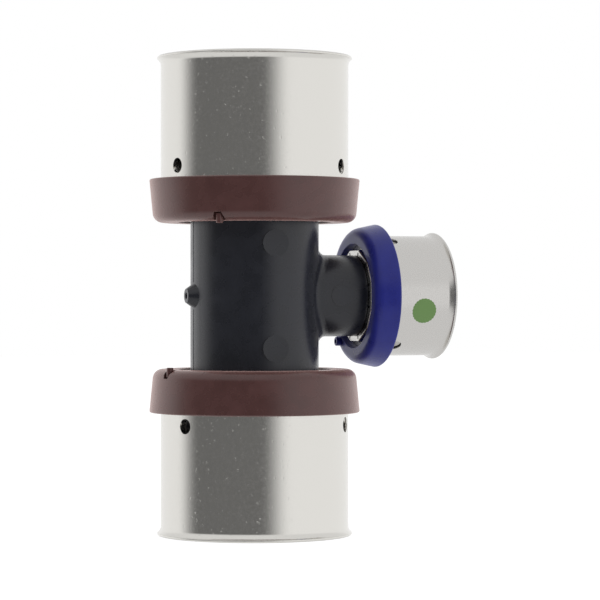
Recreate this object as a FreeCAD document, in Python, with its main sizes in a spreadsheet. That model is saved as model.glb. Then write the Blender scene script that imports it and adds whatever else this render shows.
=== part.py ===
import FreeCAD, Part
import math
import os
import Sketcher

# Reducing press tee for plastic water pipe.
# A moulded body carries three ribbed spigots. A drawn steel sleeve stands round each spigot, and its
# base is folded into a groove of the body in small tabs. A moulded locator ring sits on each sleeve's
# base and shows the press tool where to close.
# The origin is where the run axis and the branch axis cross. Z is the run, X points out of the branch.
# Lengths are in millimetres and angles in degrees. Places along a port count from the origin.

SIZES = {
    # Steel sleeves
    "sleeve_wall": 0.6,
    "flare_angle": 60,
    "rim_trim": 0.1,
    "tab_count": 12,
    "tab_recess": 0.3,
    "slit_width": 0.5,
    "fold_radius": 0.35,
    "hole_count": 3,
    # Fits between the pieces
    "seat_clearance": 0.1,
    "ring_clearance": 0.1,
    "ring_base_clearance": 0.92,
    # Run port, used at both ends of the body
    "run_bore": 20.6,
    "run_tube": 25.26,
    "run_ring_face": 14.4,
    "run_end_wall": 2.6,
    "run_flange_length": 4.3,
    "run_flange_rim": 1.4,
    "run_flange_web": 30.0,
    "run_spigot_length": 23.8,
    "run_mouth_overhang": 1.2,
    "run_tab_bite": 0.45,
    "run_crest": 26.9,
    "run_root": 25.4,
    "run_nose": 26.0,
    "run_nose_chamfer": 1.2,
    "run_land_length": 4.0,
    "run_barb_count": 4,
    "run_barb_pitch": 4.0,
    "run_barb_crest": 0.5,
    "run_barb_gap": 0.9,
    "run_sleeve_outer": 36.9,
    "run_flare_radius": 1.65,
    "run_across_flats": 27.4,
    "run_shoulder_bend": 0.9,
    "run_hole": 2.95,
    "run_hole_offset": 2.25,
    "run_ring_length": 8.5,
    "run_ring_outer": 41.4,
    "run_ring_draft": 5.5,
    "run_ring_corner": 1.9,
    "run_ring_edge": 0.3,
    # Branch port
    "branch_bore": 12.4,
    "branch_tube": 16.0,
    "branch_ring_face": 20.66,
    "branch_end_wall": 1.94,
    "branch_flange_length": 1.9,
    "branch_spigot_length": 11.8,
    "branch_mouth_overhang": 1.1,
    "branch_tab_bite": 0.3,
    "branch_crest": 17.1,
    "branch_root": 16.0,
    "branch_nose": 16.5,
    "branch_nose_chamfer": 0.8,
    "branch_land_length": 2.5,
    "branch_barb_count": 3,
    "branch_barb_pitch": 2.3,
    "branch_barb_crest": 0.4,
    "branch_barb_gap": 0.7,
    "branch_sleeve_outer": 24.0,
    "branch_flare_radius": 1.5,
    "branch_across_flats": 18.3,
    "branch_shoulder_bend": 0.8,
    "branch_hole": 2.8,
    "branch_hole_offset": 1.25,
    "branch_ring_length": 4.94,
    "branch_ring_outer": 28.6,
    "branch_ring_draft": 12,
    "branch_ring_corner": 1.8,
    "branch_ring_edge": 0.3,
    # Moulded details of the body
    "bore_chamfer": 0.5,
    "nose_slope": 30,
    "neck_fillet": 2.3,
    "disc_width": 5.2,
    "disc_height": 10.2,
    "disc_proud": 0.05,
    "neck_disc_width": 4.0,
    "neck_disc_from": 15.2,
    "nub_proud": 1.5,
    "nub_tip": 2.8,
    "nub_base": 5.2,
    "nub_scar": 1.3,
    "nub_scar_depth": 0.3,
    # Gate marks on the rings
    "run_pip_width": 1.3,
    "run_pip_from": 19.0,
    "run_pip_proud": 0.5,
    "run_recess": 2.5,
    "run_recess_depth": 1.65,
    "branch_pip_width": 1.8,
    "branch_pip_from": 11.35,
    "branch_pip_proud": 1.1,
    "branch_pip_root": 1.2,
    "branch_dimple": 0.9,
    "branch_dimple_depth": 0.9,
    # Turns about each port's own axis
    "upper_hole_turn": -163,
    "lower_hole_turn": 155.5,
    "branch_hole_turn": -155,
    "upper_pip_turn": -129.6,
    "lower_pip_turn": 168.4,
    "branch_pip_turn": 36,
}

EDGE_REACH = 0.02  # how near an edge lies to the place that it is picked by
CUT_OVERRUN = 1  # how far a cut runs past the face that it opens
LEAST_CUT = 0.001  # the least volume that a cut takes away

doc = FreeCAD.newDocument("press_tee")
sheet = doc.addObject("Spreadsheet::Sheet", "Sizes")
for row, (alias, number) in enumerate(SIZES.items(), start=1):
    sheet.set(f"A{row}", alias)
    sheet.set(f"B{row}", str(number))
    sheet.setAlias(f"B{row}", alias)
doc.recompute()


def worth(text):
    """The number that an expression on the sheet comes to."""
    return float(sheet.evalExpression(text.replace("Sizes.", "")))


def half(text):
    """Half of an expression."""
    return f"({text}) / 2"


class Port:
    """The expressions that give one port's sizes, and its places along its axis."""

    def __init__(self, name):
        for alias in SIZES:
            if alias.startswith(name + "_"):
                setattr(self, alias[len(name) + 1:], f"Sizes.{alias}")
        wall = "Sizes.sleeve_wall"
        clear = "Sizes.seat_clearance"
        self.tab_face = f"{self.ring_face} + Sizes.tab_recess"
        self.tab_back = f"{self.tab_face} + {wall}"
        self.tab_hole_radius = f"{half(self.tube)} - {self.tab_bite}"
        self.shoulder = f"{self.ring_face} + {self.end_wall}"
        self.shoulder_back = f"{self.shoulder} + {wall}"
        self.flange = f"{self.shoulder_back} + {clear}"
        self.stop = f"{self.flange} + {self.flange_length}"
        self.land_end = f"{self.stop} + {self.land_length}"
        self.spigot_end = f"{self.stop} + {self.spigot_length}"
        self.mouth = f"{self.spigot_end} + {self.mouth_overhang}"
        self.ring_open = f"{self.ring_face} + {self.ring_length}"
        self.sleeve_radius = half(self.sleeve_outer)
        self.sleeve_inside = f"{self.sleeve_radius} - {wall}"
        self.flange_radius = f"{self.sleeve_inside} - {clear}"
        self.collar_radius = f"{half(self.across_flats)} - {wall} - {clear}"
        base_reach = f"{half(self.across_flats)} / cos(180 / Sizes.tab_count)"
        self.ring_opening = f"{base_reach} + Sizes.ring_base_clearance"


def new_body(label):
    """A sub-part, whose label is the name of its file."""
    body = doc.addObject("PartDesign::Body", label)
    body.Label = label
    return body


def origin_feature(body, role):
    """An axis or a plane of a body's own origin."""
    return next(item for item in body.Origin.OriginFeatures if item.Role == role)


def new_sketch(body, name, plane):
    """A sketch on one of the body's own origin planes."""
    sketch = body.newObject("Sketcher::SketchObject", f"{body.Name}_{name}")
    sketch.AttachmentSupport = [(origin_feature(body, plane), "")]
    sketch.MapMode = "FlatFace"
    return sketch


def draw_outline(sketch, corners):
    """Close an outline through corners, each (across, up) or (across, up, centre of the arc to the next)."""
    first = sketch.GeometryCount
    count = len(corners)
    spots = [(worth(corner[0]), worth(corner[1])) for corner in corners]
    starts, ends = [], []
    for i, corner in enumerate(corners):
        here, there = spots[i], spots[(i + 1) % count]
        if len(corner) == 2:
            line = Part.LineSegment(FreeCAD.Vector(*here, 0), FreeCAD.Vector(*there, 0))
            sketch.addGeometry(line, False)
            starts.append((first + i, 1))
            ends.append((first + i, 2))
            continue
        middle = tuple(worth(text) for text in corner[2])
        radius = math.dist(here, middle)
        turn_here = math.atan2(here[1] - middle[1], here[0] - middle[0])
        turn_there = math.atan2(there[1] - middle[1], there[0] - middle[0])
        forward = (turn_there - turn_here) % (2 * math.pi) < math.pi
        turns = (turn_here, turn_there) if forward else (turn_there, turn_here)
        circle = Part.Circle(FreeCAD.Vector(*middle, 0), FreeCAD.Vector(0, 0, 1), radius)
        sketch.addGeometry(Part.ArcOfCircle(circle, *turns), False)
        starts.append((first + i, 1 if forward else 2))
        ends.append((first + i, 2 if forward else 1))
    for i, corner in enumerate(corners):
        sketch.addConstraint(Sketcher.Constraint("Coincident", *ends[i - 1], *starts[i]))
        for kind, text, at in (("DistanceX", corner[0], 0), ("DistanceY", corner[1], 1)):
            rule = Sketcher.Constraint(kind, -1, 1, *starts[i], spots[i][at])
            number = sketch.addConstraint(rule)
            sketch.setExpression(f"Constraints[{number}]", text)
        if len(corner) == 3:
            radius = f"sqrt(({corner[0]} - ({corner[2][0]}))^2 + ({corner[1]} - ({corner[2][1]}))^2)"
            number = sketch.addConstraint(Sketcher.Constraint("Radius", first + i, worth(radius)))
            sketch.setExpression(f"Constraints[{number}]", radius)


def draw_circle(sketch, across, up, width):
    """A circle in a sketch, by the expressions for its centre and its diameter."""
    centre = FreeCAD.Vector(worth(across), worth(up), 0)
    normal = FreeCAD.Vector(0, 0, 1)
    circle = sketch.addGeometry(Part.Circle(centre, normal, worth(width) / 2), False)
    rules = (
        (Sketcher.Constraint("DistanceX", -1, 1, circle, 3, centre.x), across),
        (Sketcher.Constraint("DistanceY", -1, 1, circle, 3, centre.y), up),
        (Sketcher.Constraint("Diameter", circle, worth(width)), width),
    )
    for rule, text in rules:
        number = sketch.addConstraint(rule)
        sketch.setExpression(f"Constraints[{number}]", text)


def turned(body, name, kind, sketch, axis):
    """A full turn of a sketch about one of its axes, added or cut."""
    feature = body.newObject(kind, f"{body.Name}_{name}")
    feature.Profile = sketch
    feature.ReferenceAxis = (sketch, [axis])
    feature.Angle = 360
    doc.recompute()
    return feature


def raised(body, name, kind, sketch, length, backwards=False):
    """A pad or a pocket of a sketch, whose length is an expression."""
    feature = body.newObject(kind, f"{body.Name}_{name}")
    feature.Profile = sketch
    feature.Reversed = backwards
    feature.setExpression("Length", length)
    doc.recompute()
    return feature


def patterned(body, name, original, count):
    """Even copies of a feature about the body's own Z axis."""
    pattern = body.newObject("PartDesign::PolarPattern", f"{body.Name}_{name}")
    pattern.Originals = [original]
    pattern.Axis = (origin_feature(body, "Z_Axis"), [""])
    pattern.Angle = 360
    pattern.setExpression("Occurrences", count)
    body.Tip = pattern
    doc.recompute()
    return pattern


def edges_where(feature, test):
    """The names of the edges of a feature whose every sampled point passes a test."""
    names = []
    for number, edge in enumerate(feature.Shape.Edges, start=1):
        if all(test(point) for point in edge.discretize(7)):
            names.append(f"Edge{number}")
    return names


def eased(body, name, kind, base, test, size):
    """A fillet or a chamfer on the edges that pass a test, whose size is an expression."""
    feature = body.newObject(kind, f"{body.Name}_{name}")
    feature.Base = (base, edges_where(base, test))
    feature.setExpression("Radius" if kind.endswith("Fillet") else "Size", size)
    doc.recompute()
    return feature


def near(number, text):
    """Is a number the worth of an expression, within an edge's reach?"""
    return abs(number - worth(text)) < EDGE_REACH


def circle_at(radius, height):
    """A test for points of one circle about Z, by expressions for its radius and height."""
    return lambda point: near(math.hypot(point.x, point.y), radius) and near(point.z, height)


def port_outline(port):
    """Corners of the body's outer half section at a port, as (place along the axis, radius)."""
    clear = "Sizes.seat_clearance"
    groove = f"{port.tab_hole_radius} - {clear}"
    tube, crest, root, nose = (half(w) for w in (port.tube, port.crest, port.root, port.nose))
    corners = [
        ("0", "0"),
        ("0", tube),
        (f"{port.tab_face} - {clear}", tube),
        (f"{port.tab_face} - {clear}", groove),
        (f"{port.tab_back} + {clear}", groove),
        (f"{port.tab_back} + {clear}", port.collar_radius),
        (port.flange, port.collar_radius),
        (port.flange, port.flange_radius),
        (port.stop, port.flange_radius),
        (port.stop, crest),
        (port.land_end, crest),
    ]
    for barb in range(int(worth(port.barb_count))):
        start = f"{port.land_end} + {barb} * {port.barb_pitch}"
        corners += [
            (start, root),
            (f"{start} + {port.barb_gap}", root),
            (f"{start} + {port.barb_gap}", crest),
            (f"{start} + {port.barb_gap} + {port.barb_crest}", crest),
        ]
    last = f"{port.land_end} + {port.barb_count} * {port.barb_pitch}"
    corners += [
        (last, root),
        (f"{last} + {port.barb_gap}", nose),
        (f"{port.spigot_end} - {port.nose_chamfer}", nose),
        (port.spigot_end, f"{nose} - {port.nose_chamfer} * tan(Sizes.nose_slope)"),
        (port.spigot_end, "0"),
    ]
    return corners


def spool_outline(port):
    """Corners of the cored groove round a port's flange, as (radius, place along the axis)."""
    outside = f"{port.flange_radius} + {CUT_OVERRUN}"
    web = half(port.flange_web)
    near_side = f"{port.flange} + {port.flange_rim}"
    far_side = f"{port.stop} - {port.flange_rim}"
    return [(web, near_side), (outside, near_side), (outside, far_side), (web, far_side)]


def build_tee_body(run, branch):
    """The moulded body: the run and its two spigots, the branch neck and its spigot, and both bores."""
    body = new_body("tee_body")

    sketch = new_sketch(body, "run_outline", "XZ_Plane")
    draw_outline(sketch, [(radius, place) for place, radius in port_outline(run)])
    half_run = turned(body, "half_run", "PartDesign::Revolution", sketch, "V_Axis")
    sketch = new_sketch(body, "spool_outline", "XZ_Plane")
    draw_outline(sketch, spool_outline(run))
    spool = turned(body, "spool", "PartDesign::Groove", sketch, "V_Axis")
    other_half = body.newObject("PartDesign::Mirrored", "tee_body_other_half")
    other_half.Originals = [half_run, spool]
    other_half.MirrorPlane = (origin_feature(body, "XY_Plane"), [""])
    body.Tip = other_half
    doc.recompute()

    sketch = new_sketch(body, "branch_outline", "XZ_Plane")
    draw_outline(sketch, port_outline(branch))
    neck = turned(body, "neck", "PartDesign::Revolution", sketch, "H_Axis")

    def where_neck_meets_run(point):
        """Is a point on both the run's tube and the neck?"""
        on_run = near(math.hypot(point.x, point.y), half(run.tube))
        return point.x > 0 and on_run and near(math.hypot(point.y, point.z), half(branch.tube))

    eased(body, "neck_fillet", "PartDesign::Fillet", neck, where_neck_meets_run, "Sizes.neck_fillet")

    sketch = new_sketch(body, "disc_circles", "XZ_Plane")
    for side in ("", "-"):
        draw_circle(sketch, "0", f"{side}Sizes.disc_height", "Sizes.disc_width")
    raised(body, "discs", "PartDesign::Pad", sketch, f"{half(run.tube)} + Sizes.disc_proud")
    sketch = new_sketch(body, "neck_disc_circle", "XZ_Plane")
    draw_circle(sketch, "Sizes.neck_disc_from", "0", "Sizes.neck_disc_width")
    raised(body, "neck_disc", "PartDesign::Pad", sketch, f"{half(branch.tube)} + Sizes.disc_proud")

    face = f"-({half(run.tube)} + Sizes.nub_proud)"
    scar = f"{face} + Sizes.nub_scar_depth"
    root = f"-sqrt(({half(run.tube)})^2 - ({half('Sizes.nub_base')})^2)"
    sketch = new_sketch(body, "nub_outline", "XZ_Plane")
    draw_outline(sketch, [
        ("0", "0"),
        (scar, "0"),
        (scar, half("Sizes.nub_scar")),
        (face, half("Sizes.nub_scar")),
        (face, half("Sizes.nub_tip")),
        (root, half("Sizes.nub_base")),
        ("0", half("Sizes.nub_base")),
    ])
    turned(body, "nub", "PartDesign::Revolution", sketch, "H_Axis")

    sketch = new_sketch(body, "run_bore_outline", "XZ_Plane")
    end = f"{run.spigot_end} + {CUT_OVERRUN}"
    wall = half(run.bore)
    draw_outline(sketch, [("0", f"-({end})"), (wall, f"-({end})"), (wall, end), ("0", end)])
    turned(body, "run_bore", "PartDesign::Groove", sketch, "V_Axis")
    sketch = new_sketch(body, "branch_bore_outline", "XZ_Plane")
    end = f"{branch.spigot_end} + {CUT_OVERRUN}"
    wall = half(branch.bore)
    draw_outline(sketch, [("0", "0"), (end, "0"), (end, wall), ("0", wall)])
    bored = turned(body, "branch_bore", "PartDesign::Groove", sketch, "H_Axis")

    def at_a_bore_end(point):
        """Is a point on the edge where a bore opens through a spigot's end?"""
        across, along = math.hypot(point.x, point.y), abs(point.z)
        at_run = near(across, half(run.bore)) and near(along, run.spigot_end)
        across = math.hypot(point.y, point.z)
        return at_run or (near(across, half(branch.bore)) and near(point.x, branch.spigot_end))

    eased(body, "bore_chamfer", "PartDesign::Chamfer", bored, at_a_bore_end, "Sizes.bore_chamfer")
    return body


def sleeve_outline(port):
    """Corners of a sleeve's wall and shoulder, as (radius, place along the axis)."""
    wall, angle = "Sizes.sleeve_wall", "Sizes.flare_angle"
    outside, bend = port.sleeve_radius, port.flare_radius
    start = f"{port.mouth} + Sizes.rim_trim - ({bend} + {wall}) * sin({angle})"
    centre = (f"{outside} + {bend}", start)
    brim = (f"{outside} + {bend} * (1 - cos({angle}))", f"{start} + {bend} * sin({angle})")
    climb = f"({port.mouth} - ({start}))"
    neck = f"{half(port.across_flats)} - {wall}"
    return [
        (neck, port.shoulder),
        (outside, port.shoulder),
        (outside, start, centre),
        brim,
        (f"{brim[0]} - ({climb} - {bend} * sin({angle})) / tan({angle})", port.mouth),
        (f"{centre[0]} - sqrt(({bend} + {wall})^2 - {climb}^2)", port.mouth, centre),
        (port.sleeve_inside, start),
        (port.sleeve_inside, port.shoulder_back),
        (neck, port.shoulder_back),
    ]


def draw_polygon(sketch, flat_radius):
    """An even polygon with one side for each tab, by the radius to its flats."""
    reach = f"({flat_radius}) / cos(180 / Sizes.tab_count)"
    turns = [f"{tab + 0.5} * 360 / Sizes.tab_count" for tab in range(int(worth("Sizes.tab_count")))]
    draw_outline(sketch, [(f"{reach} * cos({turn})", f"{reach} * sin({turn})") for turn in turns])


def build_sleeve(label, port, hole_turn):
    """A drawn steel sleeve along Z: a flared wall, a shoulder, a many-sided base folded into tabs."""
    body = new_body(label)
    wall = "Sizes.sleeve_wall"
    flat_radius = half(port.across_flats)

    sketch = new_sketch(body, "wall_outline", "XZ_Plane")
    draw_outline(sketch, sleeve_outline(port))
    turned(body, "wall", "PartDesign::Revolution", sketch, "V_Axis")

    sketch = new_sketch(body, "base_outline", "XY_Plane")
    sketch.setExpression("AttachmentOffset.Base.z", port.tab_face)
    draw_polygon(sketch, flat_radius)
    draw_polygon(sketch, f"{flat_radius} - {wall}")
    raised(body, "base", "PartDesign::Pad", sketch, f"{port.shoulder_back} - ({port.tab_face})")
    sketch = new_sketch(body, "tabs_outline", "XY_Plane")
    sketch.setExpression("AttachmentOffset.Base.z", port.tab_face)
    draw_polygon(sketch, flat_radius)
    draw_circle(sketch, "0", "0", f"2 * ({port.tab_hole_radius})")
    tabs = raised(body, "tabs", "PartDesign::Pad", sketch, wall)

    def at_the_fold(point):
        """Is a point on the outer edge of the folded tabs?"""
        outside_the_hole = math.hypot(point.x, point.y) > worth(flat_radius) - EDGE_REACH
        return near(point.z, port.tab_face) and outside_the_hole

    fold = eased(body, "fold", "PartDesign::Fillet", tabs, at_the_fold, "Sizes.fold_radius")
    corner = circle_at(port.sleeve_radius, port.shoulder)
    eased(body, "bend", "PartDesign::Fillet", fold, corner, port.shoulder_bend)

    sketch = new_sketch(body, "slit_outline", "XY_Plane")
    sketch.setExpression("AttachmentOffset.Base.z", port.tab_face)
    sketch.setExpression("AttachmentOffset.Rotation.Angle", "180 / Sizes.tab_count")
    side = half("Sizes.slit_width")
    inner_end = f"{port.tab_hole_radius} - {CUT_OVERRUN}"
    outer_end = f"{flat_radius} / cos(180 / Sizes.tab_count) - {wall}"
    corners = [(inner_end, f"-{side}"), (outer_end, f"-{side}"), (outer_end, side), (inner_end, side)]
    draw_outline(sketch, corners)
    slit = raised(body, "slit", "PartDesign::Pocket", sketch, wall, backwards=True)
    patterned(body, "slits", slit, "Sizes.tab_count")

    sketch = new_sketch(body, "hole_circle", "XZ_Plane")
    sketch.AttachmentOffset = FreeCAD.Placement(
        FreeCAD.Vector(), FreeCAD.Rotation(FreeCAD.Vector(0, 1, 0), worth(hole_turn) + 90)
    )
    sketch.setExpression("AttachmentOffset.Rotation.Angle", f"{hole_turn} + 90")
    draw_circle(sketch, "0", f"{port.ring_open} + {port.hole_offset}", port.hole)
    reach = f"{port.sleeve_radius} + {CUT_OVERRUN}"
    hole = raised(body, "hole", "PartDesign::Pocket", sketch, reach, backwards=True)
    patterned(body, "holes", hole, "Sizes.hole_count")
    return body


def build_ring(label, port):
    """A moulded locator ring along Z: a tapered band that closes over the sleeve's base."""
    body = new_body(label)
    rim = half(port.ring_outer)
    shoulder = f"{rim} - {port.ring_length} * tan({port.ring_draft})"
    bore = f"{port.sleeve_radius} + Sizes.ring_clearance"
    sketch = new_sketch(body, "band_outline", "XZ_Plane")
    draw_outline(sketch, [
        (port.ring_opening, port.ring_face),
        (shoulder, port.ring_face),
        (rim, port.ring_open),
        (bore, port.ring_open),
        (bore, port.shoulder),
        (port.ring_opening, port.shoulder),
    ])
    band = turned(body, "band", "PartDesign::Revolution", sketch, "V_Axis")
    corner = circle_at(shoulder, port.ring_face)
    rounded = eased(body, "corner", "PartDesign::Fillet", band, corner, port.ring_corner)
    edge = circle_at(rim, port.ring_open)
    eased(body, "edge", "PartDesign::Fillet", rounded, edge, port.ring_edge)
    return body


def spot_sketch(body, name, height, port, turn, width):
    """A circle on a ring's face at the gate mark, in a sketch at a height along the axis."""
    sketch = new_sketch(body, name, "XY_Plane")
    sketch.setExpression("AttachmentOffset.Base.z", height)
    across, up = f"{port.pip_from} * cos({turn})", f"{port.pip_from} * sin({turn})"
    draw_circle(sketch, across, up, width)
    return sketch


def add_sunk_pip(body, port, turn):
    """The gate mark of a run ring: a pip in a shallow round recess that breaks through the corner."""
    floor = f"{port.ring_face} + {port.recess_depth}"
    sketch = spot_sketch(body, "recess_circle", floor, port, turn, port.recess)
    cut = f"{port.recess_depth} + {CUT_OVERRUN}"
    raised(body, "recess", "PartDesign::Pocket", sketch, cut)
    sketch = spot_sketch(body, "pip_circle", floor, port, turn, port.pip_width)
    length = f"{port.recess_depth} + {port.pip_proud}"
    raised(body, "pip", "PartDesign::Pad", sketch, length, backwards=True)


def add_hollow_pip(body, port, turn):
    """The gate mark of the branch ring: a short hollow post on the face."""
    root = f"{port.ring_face} + {port.pip_root}"
    sketch = spot_sketch(body, "pip_circle", root, port, turn, port.pip_width)
    raised(body, "pip", "PartDesign::Pad", sketch, f"{port.pip_root} + {port.pip_proud}", backwards=True)
    floor = f"{port.ring_face} - {port.pip_proud} + {port.dimple_depth}"
    sketch = spot_sketch(body, "dimple_circle", floor, port, turn, port.dimple)
    raised(body, "dimple", "PartDesign::Pocket", sketch, f"{port.dimple_depth} + {CUT_OVERRUN}")


def about(axis, degrees):
    """A turn about an axis through the origin."""
    return FreeCAD.Placement(FreeCAD.Vector(), FreeCAD.Rotation(FreeCAD.Vector(*axis), degrees))


def check_cuts():
    """Stop if a cut took nothing away, because it pointed off the solid."""
    for item in doc.Objects:
        if item.TypeId in ("PartDesign::Pocket", "PartDesign::Groove"):
            if not item.Shape.Volume < item.BaseFeature.Shape.Volume - LEAST_CUT:
                raise RuntimeError(f"{item.Name} cut nothing")


def check_document(bodies):
    """Stop if anything failed to recompute, or if a sub-part isn't one valid solid."""
    for item in doc.Objects:
        if {"Invalid", "Error"} & set(item.State):
            raise RuntimeError(f"{item.Name} is {item.State}")
    check_cuts()
    for body in bodies:
        shape = body.Shape
        if shape.isNull() or not shape.isValid() or len(shape.Solids) != 1:
            raise RuntimeError(f"{body.Label} isn't one valid solid")


run_port, branch_port = Port("run"), Port("branch")
sub_parts = [build_tee_body(run_port, branch_port)]
flipped, sideways = about((1, 0, 0), 180), about((0, 1, 0), 90)
for side, port, placement in (
    ("upper", run_port, FreeCAD.Placement()),
    ("lower", run_port, flipped),
    ("branch", branch_port, sideways),
):
    sleeve = build_sleeve(f"{side}_sleeve", port, f"Sizes.{side}_hole_turn")
    ring = build_ring(f"{side}_locator_ring", port)
    add_pip = add_hollow_pip if port is branch_port else add_sunk_pip
    add_pip(ring, port, f"Sizes.{side}_pip_turn")
    for piece in (sleeve, ring):
        piece.Placement = placement
        sub_parts.append(piece)

doc.recompute()
check_document(sub_parts)
os.makedirs("parts", exist_ok=True)
for piece in sub_parts:
    piece.Shape.exportStep(f"parts/{piece.Label}.step")
    box = piece.Shape.optimalBoundingBox()
    print(
        f"{piece.Label}: {piece.Shape.Volume:.1f} mm3,"
        f" X {box.XMin:.2f} to {box.XMax:.2f}, Y {box.YMin:.2f} to {box.YMax:.2f},"
        f" Z {box.ZMin:.2f} to {box.ZMax:.2f}"
    )
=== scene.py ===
"""The looks of a reducing press tee: moulded plastic with drawn steel sleeves, in a white light tent.

Lengths are in millimetres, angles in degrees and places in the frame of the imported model: Z is the run
and X points out of the branch. Meshes are made in metres.
"""

import logging
import math
from collections.abc import Iterator, Sequence
from dataclasses import dataclass
from enum import Enum

import bmesh
import bpy
from mathutils import Euler, Matrix, Vector


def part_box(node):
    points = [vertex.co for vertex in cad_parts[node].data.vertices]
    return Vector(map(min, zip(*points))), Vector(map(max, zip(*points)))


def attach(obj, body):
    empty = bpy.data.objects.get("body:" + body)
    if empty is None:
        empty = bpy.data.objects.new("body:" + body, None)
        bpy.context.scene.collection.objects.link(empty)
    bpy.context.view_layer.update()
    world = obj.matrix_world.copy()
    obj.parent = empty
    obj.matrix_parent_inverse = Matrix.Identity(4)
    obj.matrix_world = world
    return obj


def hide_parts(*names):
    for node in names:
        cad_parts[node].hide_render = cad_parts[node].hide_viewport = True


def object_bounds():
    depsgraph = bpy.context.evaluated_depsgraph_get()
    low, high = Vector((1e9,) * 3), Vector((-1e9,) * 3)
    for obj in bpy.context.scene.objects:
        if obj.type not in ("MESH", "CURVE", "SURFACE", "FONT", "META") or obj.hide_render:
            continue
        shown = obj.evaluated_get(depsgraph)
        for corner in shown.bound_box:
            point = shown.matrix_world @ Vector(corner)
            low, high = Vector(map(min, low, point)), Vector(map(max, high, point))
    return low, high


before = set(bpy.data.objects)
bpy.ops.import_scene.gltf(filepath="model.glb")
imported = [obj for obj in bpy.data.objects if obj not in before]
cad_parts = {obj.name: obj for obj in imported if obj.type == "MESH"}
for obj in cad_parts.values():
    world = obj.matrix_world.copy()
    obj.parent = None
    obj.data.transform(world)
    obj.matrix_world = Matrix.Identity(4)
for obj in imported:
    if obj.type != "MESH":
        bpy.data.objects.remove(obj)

CAD_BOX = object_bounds()
MM = 0.001
BODY = "root"
SEGMENTS = 240
ARC_STEP = 12.0
GUARD = 0.2
# How far a cutter starts outside what it cuts.
OVERSHOOT = 1.0
# Points nearer than this are one point.
MERGE = 0.0005
SHARP_ANGLE = 27.0
ON_WALL = 0.01
# Nearly all of a noise texture's values lie between these two.
NOISE_LOW = 0.3
NOISE_HIGH = 0.7

log = logging.getLogger("press_tee")


def add_node(
    tree: bpy.types.NodeTree,
    kind: str,
    inputs: dict[str | int, object] | None = None,
    out: str | int = 0,
    **settings: object,
) -> bpy.types.NodeSocket | None:
    """Add a node to a tree.

    Args:
        tree: The tree that gets the node.
        kind: The node's type name.
        inputs: A value, an output socket or a list of sockets for each input, by name or number.
        out: The output that is wanted, by name or number.
        settings: The node's own properties.

    Returns:
        The wanted output socket, or None for a node without outputs.
    """
    node = tree.nodes.new(kind)
    for name, value in settings.items():
        setattr(node, name, value)
    for key, value in (inputs or {}).items():
        links = value if isinstance(value, list) else [value]
        if isinstance(links[0], bpy.types.NodeSocket):
            for link in links:
                tree.links.new(link, node.inputs[key])
        else:
            node.inputs[key].default_value = value
    return node.outputs[out] if node.outputs else None


def linear(colour: str) -> tuple[float, float, float, float]:
    """Turn an sRGB hex colour into the linear values that a shader takes.

    Args:
        colour: Six hex digits after a hash.

    Returns:
        Red, green, blue and an alpha of 1.
    """
    parts = [int(colour[i:i + 2], 16) / 255 for i in (1, 3, 5)]
    red, green, blue = (p / 12.92 if p <= 0.04045 else ((p + 0.055) / 1.055) ** 2.4 for p in parts)
    return red, green, blue, 1.0


class Finish:
    """What every finish shares: a named material with one principled shader."""

    name: str

    def start(self) -> tuple[bpy.types.Material, bpy.types.NodeTree]:
        """Start the material.

        Returns:
            The material and its empty tree.
        """
        material = bpy.data.materials.new(self.name)
        material.use_nodes = True
        material.node_tree.nodes.clear()
        return material, material.node_tree

    def millimetres(
        self,
        tree: bpy.types.NodeTree,
        stretch: Sequence[float] = (1, 1, 1),
    ) -> bpy.types.NodeSocket:
        """Object coordinates in millimetres.

        Args:
            tree: The material's tree.
            stretch: How much the pattern is squeezed along each axis.

        Returns:
            The output socket of the scaled coordinates.
        """
        place = add_node(tree, "ShaderNodeTexCoord", out="Object")
        scale = [factor / MM for factor in stretch]
        return add_node(tree, "ShaderNodeMapping", {"Vector": place, "Scale": scale})

    def close(self, tree: bpy.types.NodeTree, inputs: dict[str, object]) -> None:
        """Add the shader with its inputs, and the output."""
        surface = add_node(tree, "ShaderNodeBsdfPrincipled", inputs)
        add_node(tree, "ShaderNodeOutputMaterial", {"Surface": surface})


class Lines(Enum):
    """Which axis the fine lines of a sheet metal run round, as a squeeze along X, Y and Z."""

    ROUND_Z = (0.06, 0.06, 1.0)
    ROUND_X = (1.0, 0.06, 0.06)


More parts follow.
